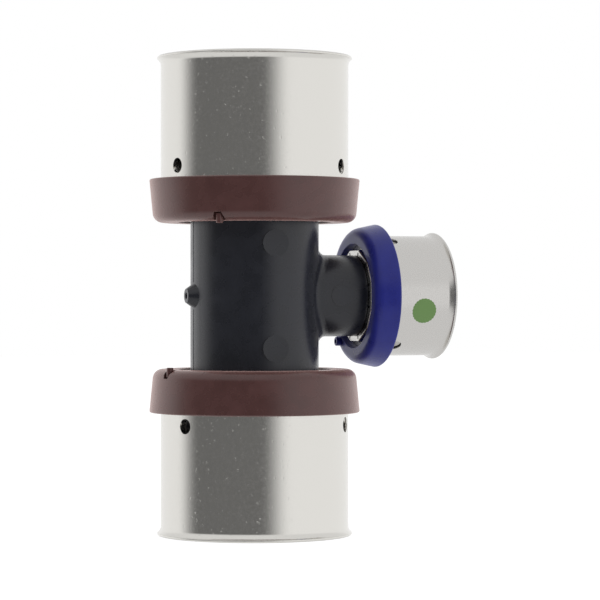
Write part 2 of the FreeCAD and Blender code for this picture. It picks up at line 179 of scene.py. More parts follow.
@dataclass(frozen=True)
class MouldedPlastic(Finish):
    """An injection-moulded thermoplastic with a satin skin.

    The mould's spark-eroded wall leaves a fine even grain, which spreads the highlights, and the melt's
    flow leaves faint clouds in the colour and the gloss. The resin's high IOR makes the sides shine
    where they turn away from the eye, and its eroded skin scatters a faint haze there. The grain is drawn
    a little coarser than life, so that it shows.
    """

    name: str
    colour: str
    cloud: str
    haze: str
    roughness: float
    ior: float
    sheen: float
    sheen_roughness: float = 0.45
    grain: float = 0.22
    grain_depth: float = 0.0018
    clouds: float = 3.2
    gloss_change: float = 0.045

    def material(self) -> bpy.types.Material:
        """Build the node tree."""
        material, tree = self.start()
        where = self.millimetres(tree)
        inputs = {"Vector": where, "Scale": 1 / self.clouds, "Detail": 4.0}
        cloud = add_node(tree, "ShaderNodeTexNoise", inputs)
        share = add_node(tree, "ShaderNodeMapRange", {0: cloud, 1: NOISE_LOW, 2: NOISE_HIGH})
        colours = {0: share, 6: linear(self.colour), 7: linear(self.cloud)}
        low, high = self.roughness - self.gloss_change, self.roughness + self.gloss_change
        gloss = {0: cloud, 1: NOISE_LOW, 2: NOISE_HIGH, 3: low, 4: high}
        inputs = {"Vector": where, "Scale": 1 / self.grain, "Detail": 3.0, "Roughness": 0.6}
        grain = add_node(tree, "ShaderNodeTexNoise", inputs)
        self.close(tree, {
            "Base Color": add_node(tree, "ShaderNodeMix", colours, out=2, data_type="RGBA"),
            "Roughness": add_node(tree, "ShaderNodeMapRange", gloss),
            "Normal": add_node(tree, "ShaderNodeBump", {"Height": grain, "Distance": self.grain_depth * MM}),
            "IOR": self.ior,
            "Sheen Weight": self.sheen,
            "Sheen Roughness": self.sheen_roughness,
            "Sheen Tint": linear(self.haze),
        })
        return material


@dataclass(frozen=True)
class DrawnSteel(Finish):
    """Stainless steel sheet, deep drawn and tumbled.

    Turning in the press tool leaves faint lines round the wall, and tumbling leaves a fine mottle of tiny
    dents, so a dark reflection is speckled and its edges are soft. A few nicks show as specks.
    """

    name: str
    way: Lines
    colour: str
    roughness: float
    lines: float = 0.35
    lines_depth: float = 0.0018
    mottle: float = 0.5
    mottle_depth: float = 0.0036
    nicks: float = 0.7
    nicks_depth: float = 0.012
    nick_edge: tuple[float, float] = (0.69, 0.74)
    gloss_change: float = 0.06

    def material(self) -> bpy.types.Material:
        """Build the node tree."""
        material, tree = self.start()
        where = self.millimetres(tree)
        along = self.millimetres(tree, self.way.value)
        inputs = {"Vector": along, "Scale": 1 / self.lines, "Detail": 4.0, "Roughness": 0.65}
        lines = add_node(tree, "ShaderNodeTexNoise", inputs)
        inputs = {"Vector": where, "Scale": 1 / self.mottle, "Detail": 4.0, "Roughness": 0.6}
        mottle = add_node(tree, "ShaderNodeTexNoise", inputs)
        inputs = {"Vector": where, "Scale": 1 / self.nicks, "Detail": 1.0}
        spots = add_node(tree, "ShaderNodeTexNoise", inputs)
        inputs = {0: spots, 1: self.nick_edge[0], 2: self.nick_edge[1], 3: 1.0, 4: 0.0}
        nicks = add_node(tree, "ShaderNodeMapRange", inputs)
        inputs = {"Height": lines, "Distance": self.lines_depth * MM}
        normal = add_node(tree, "ShaderNodeBump", inputs)
        for height, depth in ((mottle, self.mottle_depth), (nicks, self.nicks_depth)):
            inputs = {"Height": height, "Distance": depth * MM, "Normal": normal}
            normal = add_node(tree, "ShaderNodeBump", inputs)
        low, high = self.roughness - self.gloss_change, self.roughness + self.gloss_change
        gloss = {0: mottle, 1: NOISE_LOW, 2: NOISE_HIGH, 3: low, 4: high}
        self.close(tree, {
            "Base Color": linear(self.colour),
            "Metallic": 1.0,
            "Roughness": add_node(tree, "ShaderNodeMapRange", gloss),
            "Normal": normal,
        })
        return material


@dataclass(frozen=True)
class PrintedEnamel(Finish):
    """Enamel ink printed on metal: an even satin film, a little uneven in its gloss."""

    name: str
    colour: str
    roughness: float = 0.42
    gloss_change: float = 0.06
    film: float = 0.5
    film_depth: float = 0.002

    def material(self) -> bpy.types.Material:
        """Build the node tree."""
        material, tree = self.start()
        inputs = {"Vector": self.millimetres(tree), "Scale": 1 / self.film, "Detail": 3.0}
        film = add_node(tree, "ShaderNodeTexNoise", inputs)
        low, high = self.roughness - self.gloss_change, self.roughness + self.gloss_change
        gloss = {0: film, 1: NOISE_LOW, 2: NOISE_HIGH, 3: low, 4: high}
        self.close(tree, {
            "Base Color": linear(self.colour),
            "Roughness": add_node(tree, "ShaderNodeMapRange", gloss),
            "Normal": add_node(tree, "ShaderNodeBump", {"Height": film, "Distance": self.film_depth * MM}),
        })
        return material


@dataclass(frozen=True)
class Corner:
    """A corner of a half section: its radius and place along the axis, and how round it is."""

    across: float
    along: float
    rounding: float = 0.0
    sided: bool = False


@dataclass(frozen=True)
class Point:
    """A point of a half section. A sided point lies on the many-sided base instead of a circle."""

    across: float
    along: float
    sided: bool = False


def arc(centre: Vector, start: Vector, end: Vector, sided: bool = False) -> list[Point]:
    """Points of the shorter arc from start to end, with both ends.

    Args:
        centre: The arc's centre.
        start: Where it starts.
        end: Where it ends.
        sided: Whether the points lie on the many-sided base.

    Returns:
        The points in order.
    """
    first, last = start - centre, end - centre
    turn = first.angle_signed(last)
    count = max(2, math.ceil(abs(math.degrees(turn)) / ARC_STEP))
    spots = []
    for step in range(count + 1):
        angle = -turn * step / count
        arm = Matrix.Rotation(angle, 2) @ first
        spots.append(Point(centre.x + arm.x, centre.y + arm.y, sided))
    return spots


def rounded(corners: Sequence[Corner]) -> list[Point]:
    """Round the corners of a closed half section.

    Each rounding is an arc that touches both sides, with a guard point on each side just past it, so
    that smooth shading stays true on the long sides.

    Args:
        corners: The corners in order round the section.

    Returns:
        The section's points in order.
    """
    spots: list[Point] = []
    for i, corner in enumerate(corners):
        here = Vector((corner.across, corner.along))
        before = Vector((corners[i - 1].across, corners[i - 1].along))
        after_corner = corners[(i + 1) % len(corners)]
        after = Vector((after_corner.across, after_corner.along))
        back, ahead = (before - here).normalized(), (after - here).normalized()
        if corner.rounding == 0:
            spots.append(Point(corner.across, corner.along, corner.sided))
            continue
        half = back.angle(ahead) / 2
        reach = corner.rounding / math.tan(half)
        centre = here + (back + ahead).normalized() * corner.rounding / math.sin(half)
        guard = reach + min(GUARD, corner.rounding / 2)
        if (before - here).length > guard:
            spot = here + back * guard
            spots.append(Point(spot.x, spot.y, corner.sided))
        spots += arc(centre, here + back * reach, here + ahead * reach, corner.sided)
        if (after - here).length > guard:
            spot = here + ahead * guard
            spots.append(Point(spot.x, spot.y, corner.sided))
    return spots


def shade(mesh: bpy.types.Mesh) -> None:
    """Shade a mesh smoothly, with its edges sharp past SHARP_ANGLE."""
    mesh.shade_smooth()
    mesh.set_sharp_from_angle(angle=math.radians(SHARP_ANGLE))


def lathe(name: str, section: Sequence[Point], sides: int = 0) -> bpy.types.Object:
    """Turn a closed half section about Z.

    Args:
        name: The new object's name.
        section: The points of the section in order.
        sides: How many sides the sided points have.

    Returns:
        The object, with a closed mesh.
    """
    cells = []
    for number in range(SEGMENTS):
        angle = 2 * math.pi * number / SEGMENTS
        stretch = 1.0
        if sides:
            pitch = 2 * math.pi / sides
            stretch = 1 / math.cos((angle + pitch / 2) % pitch - pitch / 2)
        for spot in section:
            across = spot.across * (stretch if spot.sided else 1) * MM
            cells.append((across * math.cos(angle), across * math.sin(angle), spot.along * MM))
    count = len(section)
    faces = []
    for number in range(SEGMENTS):
        here, there = number * count, (number + 1) % SEGMENTS * count
        for i in range(count):
            j = (i + 1) % count
            faces.append((here + i, there + i, there + j, here + j))
    mesh = bpy.data.meshes.new(name)
    mesh.from_pydata(cells, [], faces)
    return finished(name, mesh)


def finished(name: str, mesh: bpy.types.Mesh) -> bpy.types.Object:
    """Point a closed mesh's faces outwards, shade it and put it in the scene.

    Args:
        name: The object's name.
        mesh: The mesh, in metres.

    Returns:
        The object.
    """
    work = bmesh.new()
    work.from_mesh(mesh)
    bmesh.ops.remove_doubles(work, verts=work.verts, dist=MERGE * MM)
    bmesh.ops.recalc_face_normals(work, faces=work.faces)
    work.to_mesh(mesh)
    work.free()
    shade(mesh)
    piece = bpy.data.objects.new(name, mesh)
    bpy.context.scene.collection.objects.link(piece)
    return piece


def baked(piece: bpy.types.Object) -> bpy.types.Object:
    """Replace a piece's mesh by what its modifiers make of it, and drop them."""
    graph = bpy.context.evaluated_depsgraph_get()
    mesh = bpy.data.meshes.new_from_object(piece.evaluated_get(graph))
    piece.modifiers.clear()
    piece.data = mesh
    return piece


class Cut(Enum):
    """What a boolean does with its second solid."""

    ADD = "UNION"
    TAKE = "DIFFERENCE"


def combine(piece: bpy.types.Object, tool: bpy.types.Object, cut: Cut) -> bpy.types.Object:
    """Add a solid to a piece, or take it away, and delete the solid.

    Args:
        piece: The piece to change.
        tool: The solid.
        cut: Which of the two.

    Returns:
        The piece.
    """
    modifier = piece.modifiers.new(cut.name.lower(), "BOOLEAN")
    modifier.object = tool
    modifier.operation = cut.value
    modifier.solver = "EXACT"
    baked(piece)
    bpy.data.objects.remove(tool)
    shade(piece.data)
    return piece


def dress(piece: bpy.types.Object, material: bpy.types.Material) -> None:
    """Give a piece one material in place of all others."""
    piece.data.materials.clear()
    piece.data.materials.append(material)


class Port(Enum):
    """The three ports, each with the turn that takes a piece built along Z to its place."""

    UPPER = Euler((0, 0, 0))
    LOWER = Euler((math.pi, 0, 0))
    BRANCH = Euler((0, math.pi / 2, 0))

    @property
    def label(self) -> str:
        """The port's name as the nodes write it."""
        return self.name.lower()

    @property
    def seat(self) -> Matrix:
        """The turn as a matrix."""
        return self.value.to_matrix().to_4x4()

    def span(self, node: str) -> tuple[float, float]:
        """Where a node starts and ends along the port's axis.

        Args:
            node: The node's name.

        Returns:
            The nearest and the farthest place from the origin.
        """
        back = self.seat.inverted()
        near, far = sorted((back @ corner).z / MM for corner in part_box(node))
        return near, far


class PunchTree:
    """The node tree that cuts the slits and view holes of a sleeve at even turns about its axis."""

    SIZES = ("Slit Width", "Slit Start", "Slit End", "Slit Height", "Sheet", "Hole Width",
             "Hole Height", "Hole Reach", "Hole Turn", "Slit Turn")
    HOLE_SIDES = 48
    DEPTH_IN_SHEETS = 6.0

    def __init__(self) -> None:
        """Build the tree."""
        self.tree = bpy.data.node_groups.new("punch_sleeve", "GeometryNodeTree")
        face = self.tree.interface
        face.new_socket("Geometry", in_out="INPUT", socket_type="NodeSocketGeometry")
        for name in ("Slit Count", "Hole Count"):
            face.new_socket(name, in_out="INPUT", socket_type="NodeSocketInt")
        for name in self.SIZES:
            face.new_socket(name, in_out="INPUT", socket_type="NodeSocketFloat")
        face.new_socket("Material", in_out="INPUT", socket_type="NodeSocketMaterial")
        face.new_socket("Geometry", in_out="OUTPUT", socket_type="NodeSocketGeometry")
        self.given = self.tree.nodes.new("NodeGroupInput").outputs
        cutters = add_node(self.tree, "GeometryNodeJoinGeometry", {0: [self.slits(), self.holes()]})
        inputs = {"Mesh 1": self.given["Geometry"], "Mesh 2": cutters}
        cut = add_node(self.tree, "GeometryNodeMeshBoolean", inputs, operation="DIFFERENCE", solver="EXACT")
        realized = add_node(self.tree, "GeometryNodeRealizeInstances", {0: cut})
        inputs = {"Geometry": realized, "Material": self.given["Material"]}
        dressed = add_node(self.tree, "GeometryNodeSetMaterial", inputs)
        add_node(self.tree, "NodeGroupOutput", {0: dressed})

    def around(self, cutter: bpy.types.NodeSocket, count: str, turn: str) -> bpy.types.NodeSocket:
        """Copy a cutter about the axis.

        Args:
            cutter: The cutter, at its distance along X.
            count: The input that says how many.
            turn: The input that says where the first one is, in radians.

        Returns:
            The output socket of the realized copies.
        """
        tree, given = self.tree, self.given
        points = add_node(tree, "GeometryNodePoints", {"Count": given[count]})
        index = add_node(tree, "GeometryNodeInputIndex")
        share = add_node(tree, "ShaderNodeMath", {0: index, 1: given[count]}, operation="DIVIDE")
        inputs = {0: share, 1: 2 * math.pi, 2: given[turn]}
        angle = add_node(tree, "ShaderNodeMath", inputs, operation="MULTIPLY_ADD")
        rotation = add_node(tree, "ShaderNodeCombineXYZ", {"Z": angle})
        inputs = {"Points": points, "Instance": cutter, "Rotation": rotation}
        copies = add_node(tree, "GeometryNodeInstanceOnPoints", inputs)
        return add_node(tree, "GeometryNodeRealizeInstances", {0: copies})

    def slits(self) -> bpy.types.NodeSocket:
        """One box for each slit between two tabs."""
        tree, given = self.tree, self.given
        start, end = given["Slit Start"], given["Slit End"]
        long = add_node(tree, "ShaderNodeMath", {0: end, 1: start}, operation="SUBTRACT")
        tall = add_node(tree, "ShaderNodeMath", {0: given["Sheet"], 1: 2.0}, operation="MULTIPLY")
        size = add_node(tree, "ShaderNodeCombineXYZ", {"X": long, "Y": given["Slit Width"], "Z": tall})
        box = add_node(tree, "GeometryNodeMeshCube", {"Size": size})
        both = add_node(tree, "ShaderNodeMath", {0: start, 1: end}, operation="ADD")
        middle = add_node(tree, "ShaderNodeMath", {0: both, 1: 0.5}, operation="MULTIPLY")
        place = add_node(tree, "ShaderNodeCombineXYZ", {"X": middle, "Z": given["Slit Height"]})
        moved = add_node(tree, "GeometryNodeTransform", {"Geometry": box, "Translation": place})
        return self.around(moved, "Slit Count", "Slit Turn")

    def holes(self) -> bpy.types.NodeSocket:
        """One round punch for each view hole, which stops between the walls."""
        tree, given = self.tree, self.given
        inputs = {0: given["Sheet"], 1: self.DEPTH_IN_SHEETS}
        depth = add_node(tree, "ShaderNodeMath", inputs, operation="MULTIPLY")
        radius = add_node(tree, "ShaderNodeMath", {0: given["Hole Width"], 1: 0.5}, operation="MULTIPLY")
        inputs = {"Vertices": self.HOLE_SIDES, "Depth": depth, "Radius": radius}
        punch = add_node(tree, "GeometryNodeMeshCylinder", inputs)
        inputs = {"X": given["Hole Reach"], "Z": given["Hole Height"]}
        place = add_node(tree, "ShaderNodeCombineXYZ", inputs)
        inputs = {"Geometry": punch, "Rotation": (0.0, math.pi / 2, 0.0), "Translation": place}
        moved = add_node(tree, "GeometryNodeTransform", inputs)
        return self.around(moved, "Hole Count", "Hole Turn")


class RidgeTree:
    """The node tree that lays a fine raised line along the paths of a wire mesh."""

    PROFILE_SIDES = 10

    def __init__(self) -> None:
        """Build the tree."""
        self.tree = bpy.data.node_groups.new("lay_ridge", "GeometryNodeTree")
        face = self.tree.interface
        face.new_socket("Geometry", in_out="INPUT", socket_type="NodeSocketGeometry")
        face.new_socket("Radius", in_out="INPUT", socket_type="NodeSocketFloat")
        face.new_socket("Material", in_out="INPUT", socket_type="NodeSocketMaterial")
        face.new_socket("Geometry", in_out="OUTPUT", socket_type="NodeSocketGeometry")
        given = self.tree.nodes.new("NodeGroupInput").outputs
        path = add_node(self.tree, "GeometryNodeMeshToCurve", {0: given["Geometry"]})
        inputs = {"Resolution": self.PROFILE_SIDES, "Radius": given["Radius"]}
        profile = add_node(self.tree, "GeometryNodeCurvePrimitiveCircle", inputs)
        inputs = {"Curve": path, "Profile Curve": profile, "Fill Caps": True}
        ridge = add_node(self.tree, "GeometryNodeCurveToMesh", inputs)
        realized = add_node(self.tree, "GeometryNodeRealizeInstances", {0: ridge})
        inputs = {"Geometry": realized, "Material": given["Material"]}
        dressed = add_node(self.tree, "GeometryNodeSetMaterial", inputs)
        add_node(self.tree, "NodeGroupOutput", {0: dressed})


def run_tree(
    piece: bpy.types.Object,
    tree: bpy.types.NodeTree,
    values: dict[str, object],
) -> bpy.types.Object:
    """Run a geometry tree on a piece and bake the result.

    Args:
        piece: The piece to change.
        tree: The geometry tree.
        values: A value for each named input.

    Returns:
        The piece, with a plain mesh.
    """
    modifier = piece.modifiers.new(tree.name, "NODES")
    modifier.node_group = tree
    for item in tree.interface.items_tree:
        if item.in_out == "INPUT" and item.name in values:
            modifier[item.identifier] = values[item.name]
    return baked(piece)


@dataclass
class PressSleeve:
    """A drawn steel sleeve: a round wall with a flared mouth, and a many-sided base folded into tabs.

    Its mesh replaces the solid one and keeps its form. The sheet's edge at the mouth is rounded.
    """

    port: Port
    outer: float
    across_flats: float
    base_height: float
    bite_radius: float
    bend: float
    flare: float
    hole: float
    hole_height: float
    hole_turn: float
    wall: float = 0.6
    flare_angle: float = 60.0
    rim_trim: float = 0.1
    rim_round: float = 0.26
    fold: float = 0.35
    slit: float = 0.5
    tabs: int = 12
    holes: int = 3
    hole_edge: float = 0.09
    rim_slack: float = 0.03
    flare_steps: int = 12
    # Where the painted shade inside ends, in millimetres below the mouth.
    shade_below_mouth: float = 3.5

    @property
    def node(self) -> str:
        """The node that the sleeve replaces."""
        return f"{self.port.label}_sleeve"

    def mouth_section(self, mouth: float) -> list[Point]:
        """The flared mouth, from the outer wall over the rounded rim to the inner wall.

        Args:
            mouth: Where the mouth ends.

        Returns:
            The points in order.
        """
        outside, angle = self.outer / 2, math.radians(self.flare_angle)
        start = mouth + self.rim_trim - (self.flare + self.wall) * math.sin(angle)
        centre = Vector((outside + self.flare, start))
        rim = self.rim_round
        outward = Vector((math.sin(angle), math.cos(angle)))
        inward = Vector((-math.cos(angle), math.sin(angle)))
        spots = [Point(outside, start - GUARD)]
        for step in range(self.flare_steps):
            turn = angle * step / self.flare_steps
            arm = Vector((-math.cos(turn), math.sin(turn))) * self.flare
            spots.append(Point(centre.x + arm.x, centre.y + arm.y))
        brim = centre + inward * self.flare
        top = centre + inward * (self.flare + self.wall)
        low_centre = brim + inward * rim - outward * rim
        high_centre = top - inward * rim - outward * rim
        spots += arc(low_centre, low_centre - inward * rim, low_centre + outward * rim)
        spots += arc(high_centre, high_centre + outward * rim, high_centre + inward * rim)
        for step in range(self.flare_steps, -1, -1):
            turn = angle * step / self.flare_steps
            arm = Vector((-math.cos(turn), math.sin(turn))) * (self.flare + self.wall)
            spots.append(Point(centre.x + arm.x, centre.y + arm.y))
        spots.append(Point(outside - self.wall, start - GUARD))
        kept = [Point(spot.across, min(spot.along, mouth), spot.sided) for spot in spots]
        return [spot for i, spot in enumerate(kept) if i == 0 or spot != kept[i - 1]]

    def section(self) -> list[Point]:
        """The whole half section, from the tabs to the mouth and back."""
        face, mouth = self.port.span(self.node)
        shoulder = face + self.base_height
        flat, outside, wall = self.across_flats / 2, self.outer / 2, self.wall
        base = rounded([
            Corner(flat - wall, shoulder + wall, 0.0, True),
            Corner(flat - wall, face + wall, 0.0, True),
            Corner(self.bite_radius, face + wall, 0.0, True),
            Corner(self.bite_radius, face, 0.0, True),
            Corner(flat, face, self.fold, True),
            Corner(flat, shoulder, 0.0, True),
            Corner(outside, shoulder, self.bend),
            Corner(outside, mouth),
            Corner(outside - wall, mouth),
            Corner(outside - wall, shoulder + wall, self.bend - wall),
        ])
        places = [i for i, spot in enumerate(base) if spot.along == mouth]
        return base[:places[0]] + self.mouth_section(mouth) + base[places[1] + 1:]

    def build(
        self,
        punch: PunchTree,
        bright: bpy.types.Material,
        shaded_steel: bpy.types.Material,
    ) -> bpy.types.Object:
        """Make the sleeve's mesh in its place.

        Args:
            punch: The tree that cuts the slits and holes.
            bright: The steel outside and at the mouth.
            shaded_steel: A near-black steel for the wall's inside, which paints the shade there.

        Returns:
            The sleeve.
        """
        face, mouth = self.port.span(self.node)
        blank = lathe(f"{self.node}_steel", self.section(), self.tabs)
        corner = self.across_flats / 2 / math.cos(math.pi / self.tabs)
        sleeve = run_tree(blank, punch.tree, {
            "Slit Count": self.tabs,
            "Hole Count": self.holes,
            "Slit Width": self.slit * MM,
            "Slit Start": (self.bite_radius - OVERSHOOT) * MM,
            "Slit End": (corner - self.wall) * MM,
            "Slit Height": face * MM,
            "Slit Turn": math.pi / self.tabs,
            "Sheet": self.wall * MM,
            "Hole Width": self.hole * MM,
            "Hole Height": self.hole_height * MM,
            "Hole Reach": self.outer / 2 * MM,
            "Hole Turn": math.radians(self.hole_turn),
            "Material": bright,
        })
        self.ease_holes(sleeve.data)
        # Painted shade: the wall's inside and the holes' edges get the near-black steel.
        self.paint_inside_shade(sleeve.data, shaded_steel, mouth)
        shade(sleeve.data)
        normals = self.wall_normals(sleeve.data)
        sleeve.data.transform(self.port.seat)
        sleeve.data.normals_split_custom_set(normals)
        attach(sleeve, BODY)
        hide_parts(self.node)
        log.info("%s: %d faces, mouth at %.2f", sleeve.name, len(sleeve.data.polygons), mouth)
        return sleeve

    def ease_holes(self, mesh: bpy.types.Mesh) -> None:
        """Round the outer edge of each view hole, as the punch leaves it."""
        work = bmesh.new()
        work.from_mesh(mesh)
        edges = []
        for number in range(self.holes):
            turn = math.radians(self.hole_turn) + 2 * math.pi * number / self.holes
            way = Vector((math.cos(turn), math.sin(turn), 0))
            middle = Vector((0, 0, self.hole_height * MM))
            edges += [edge for edge in work.edges
                      if all(self.on_outer_rim(vertex.co, middle, way) for vertex in edge.verts)]
        bmesh.ops.bevel(work, geom=edges, offset=self.hole_edge * MM, segments=2, profile=0.5,
                        affect="EDGES", clamp_overlap=True)
        work.to_mesh(mesh)
        work.free()

    def wall_normals(self, mesh: bpy.types.Mesh) -> list[Vector]:
        """The true normals of the round walls, which the holes' cut faces would bend.

        Args:
            mesh: The sleeve's mesh along Z.

        Returns:
            One normal for each face corner, turned to the port's place, or none off the walls.
        """
        seat = self.port.seat.to_3x3()
        normals = [Vector() for _ in mesh.loops]
        for side, radius in ((1, self.outer / 2), (-1, self.outer / 2 - self.wall)):
            for face in mesh.polygons:
                spots = [mesh.vertices[i].co for i in face.vertices]
                if all(abs(spot.xy.length / MM - radius) < ON_WALL for spot in spots):
                    for loop, spot in zip(face.loop_indices, spots):
                        normals[loop] = seat @ (side * Vector((spot.x, spot.y, 0)).normalized())
        return normals

    def paint_inside_shade(self, mesh: bpy.types.Mesh, shaded_steel: bpy.types.Material, mouth: float) -> None:
        """Paint shade on the wall's inside and the holes' edges with near-black steel, up to a little below
        the mouth.
        """
        mesh.materials.append(shaded_steel)
        for face in mesh.polygons:
            out = face.center.xy.length / MM
            inwards = face.normal.xy.dot(face.center.xy) < 0
            beside_hole = abs(face.center.z / MM - self.hole_height) < self.hole / 2
            in_hole = beside_hole and out < self.outer / 2 - self.hole_edge
            if (inwards or in_hole) and face.center.z / MM < mouth - self.shade_below_mouth:
                face.material_index = 1

    def on_outer_rim(self, spot: Vector, middle: Vector, way: Vector) -> bool:
        """Is a point on the outer rim of the view hole that opens along a way?"""
        arm = spot - middle
        out = arm.dot(way)
        off_axis = (arm - way * out).length / MM
        on_hole = abs(off_axis - self.hole / 2) < self.rim_slack
        return out > 0 and on_hole and spot.xy.length / MM > self.outer / 2 - self.rim_slack


@dataclass
class LocatorRing:
    """A moulded ring that closes over a sleeve's base, with the mark that its gate left."""

    port: Port
    length: float
    rim: float
    draft: float
    corner: float
    bore: float
    opening: float
    end_wall: float
    pip: float
    pip_radius: float
    pip_turn: float
    recess: float = 0.0
    recess_depth: float = 0.0
    dimple: float = 0.0
    dimple_depth: float = 0.0
    edge: float = 0.3
    inner_edge: float = 0.15

    @property
    def node(self) -> str:
        """The node that the ring replaces."""
        return f"{self.port.label}_locator_ring"

    def band(self, face: float) -> bpy.types.Object:
        """The tapered band and its end wall.

        Args:
            face: Where the end wall's outer face is.

        Returns:
            The band, along Z.
        """
        rim, end = self.rim / 2, face + self.length
        shoulder = rim - self.length * math.tan(math.radians(self.draft))
        return lathe(f"{self.node}_moulding", rounded([
            Corner(self.opening / 2, face, self.inner_edge),
            Corner(shoulder, face, self.corner),
            Corner(rim, end, self.edge),
            Corner(self.bore / 2, end, self.inner_edge),
            Corner(self.bore / 2, face + self.end_wall),
            Corner(self.opening / 2, face + self.end_wall, self.inner_edge),
        ]))

    def post(self, name: str, width: float, low: float, high: float, soft: float) -> bpy.types.Object:
        """A short round post at the gate, whose lower end is eased.

        Args:
            name: The post's name.
            width: Its width.
            low: Where it starts.
            high: Where it ends.
            soft: How round its lower edge is.

        Returns:
            The post.
        """
        side = width / 2
        corners = [Corner(0.0, low), Corner(side, low, soft), Corner(side, high), Corner(0.0, high)]
        piece = lathe(name, rounded(corners))
        turn = math.radians(self.pip_turn)
        shift = Vector((math.cos(turn), math.sin(turn), 0)) * self.pip_radius * MM
        piece.data.transform(Matrix.Translation(shift))
        return piece

    def build(self, material: bpy.types.Material, slot: str) -> bpy.types.Object:
        """Make the ring's mesh in its place.

        Args:
            material: The plastic.
            slot: Not used.

        Returns:
            The ring.
        """
        tip, end = self.port.span(self.node)
        face = end - self.length
        ring = self.band(face)
        root = face + self.end_wall / 2
        if self.recess:
            floor = face + self.recess_depth
            combine(ring, self.post("recess", self.recess, face - OVERSHOOT, floor, 0.0), Cut.TAKE)
        combine(ring, self.post("pip", self.pip, tip, root, self.inner_edge), Cut.ADD)
        if self.dimple:
            floor = tip + self.dimple_depth
            combine(ring, self.post("dimple", self.dimple, tip - OVERSHOOT, floor, 0.0), Cut.TAKE)
        ring.data.transform(self.port.seat)
        dress(ring, material)
        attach(ring, BODY)
        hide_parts(self.node)
        log.info("%s: %d faces", ring.name, len(ring.data.polygons))
        return ring


@dataclass
class TeeBody:
    """The moulded body. Its solid's form is right and stays, and a fine parting line is laid on it.

    The line runs where the mould's halves met: down the back of the run and round the neck's root.
    """

    node: str = "tee_body"
    tube: float = 12.63
    neck: float = 8.0
    fillet: float = 2.3
    run_end: float = 14.6
    neck_end: float = 20.8
    nub: float = 2.6
    ridge: float = 0.09
    sunk: float = 0.03

    def paths(self) -> list[list[Vector]]:
        """The line's paths in the plane of the two axes.

        Returns:
            One list of points for each path.
        """
        back = -self.tube + self.sunk
        front, top = self.tube - self.sunk, self.neck - self.sunk
        bend = Vector((self.tube + self.fillet, self.neck + self.fillet))
        reach = self.fillet + self.sunk
        corner = arc(bend, bend - Vector((reach, 0)), bend - Vector((0, reach)))
        paths = []
        for way in (1, -1):
            paths.append([Vector((back, 0, way * self.nub)), Vector((back, 0, way * self.run_end))])
            turn = [Vector((spot.across, 0, way * spot.along)) for spot in corner]
            start, end = Vector((front, 0, way * self.run_end)), Vector((self.neck_end, 0, way * top))
            paths.append([start, *turn, end])
        return paths

    def build(self, material: bpy.types.Material) -> bpy.types.Object:
        """Give the solid its finish and lay the parting line.

        Args:
            material: The plastic.

        Returns:
            The parting line.
        """
        dress(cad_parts[self.node], material)
        cells, edges = [], []
        for path in self.paths():
            edges += [(len(cells) + i, len(cells) + i + 1) for i in range(len(path) - 1)]
            cells += [spot * MM for spot in path]
        mesh = bpy.data.meshes.new("parting_line")
        mesh.from_pydata(cells, edges, [])
        line = bpy.data.objects.new("parting_line", mesh)
        bpy.context.scene.collection.objects.link(line)
        run_tree(line, RidgeTree().tree, {"Radius": self.ridge * MM, "Material": material})
        shade(line.data)
        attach(line, BODY)
        log.info("%s: finish; %s: %d faces", self.node, line.name, len(line.data.polygons))
        return line


@dataclass
class SizeMark:
    """The round printed mark on the branch sleeve, with the fine teeth that the print screen leaves."""

    place: float = 31.35
    below: float = 14.5
    width: float = 5.0
    surface: float = 12.0
    film: float = 0.03
    rings: int = 6
    spokes: int = 144
    teeth: int = 24
    tooth: float = 0.045

    def build(self, material: bpy.types.Material) -> bpy.types.Object:
        """Lay a thin closed film on the sleeve's wall.

        Args:
            material: The ink.

        Returns:
            The mark.
        """
        cells: list[tuple[float, float, float]] = []
        for layer in (1, -1):
            for ring in range(self.rings + 1):
                out = self.width / 2 * ring / self.rings
                for spoke in range(self.spokes):
                    angle = 2 * math.pi * spoke / self.spokes
                    reach = out + self.tooth * math.sin(self.teeth * angle) * ring / self.rings
                    along, around = reach * math.cos(angle), reach * math.sin(angle)
                    rise = self.film * math.sqrt(1 - (ring / self.rings) ** 2) if layer == 1 else -self.film
                    height = self.surface + rise
                    turn = math.radians(self.below) + around / self.surface
                    cells.append((self.place + along, -height * math.cos(turn), -height * math.sin(turn)))
        faces = []
        block = (self.rings + 1) * self.spokes
        for layer in (0, block):
            for ring in range(self.rings):
                for spoke in range(self.spokes):
                    here, there = layer + ring * self.spokes, layer + (ring + 1) * self.spokes
                    after = (spoke + 1) % self.spokes
                    faces.append((here + spoke, there + spoke, there + after, here + after))
        edge = self.rings * self.spokes
        for spoke in range(self.spokes):
            after = (spoke + 1) % self.spokes
            faces.append((edge + spoke, block + edge + spoke, block + edge + after, edge + after))
        mesh = bpy.data.meshes.new("size_mark_ink")
        mesh.from_pydata([Vector(cell) * MM for cell in cells], [], faces)
        mark = finished("size_mark_ink", mesh)
        dress(mark, material)
        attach(mark, BODY)
        log.info("%s: %d faces", mark.name, len(mark.data.polygons))
        return mark


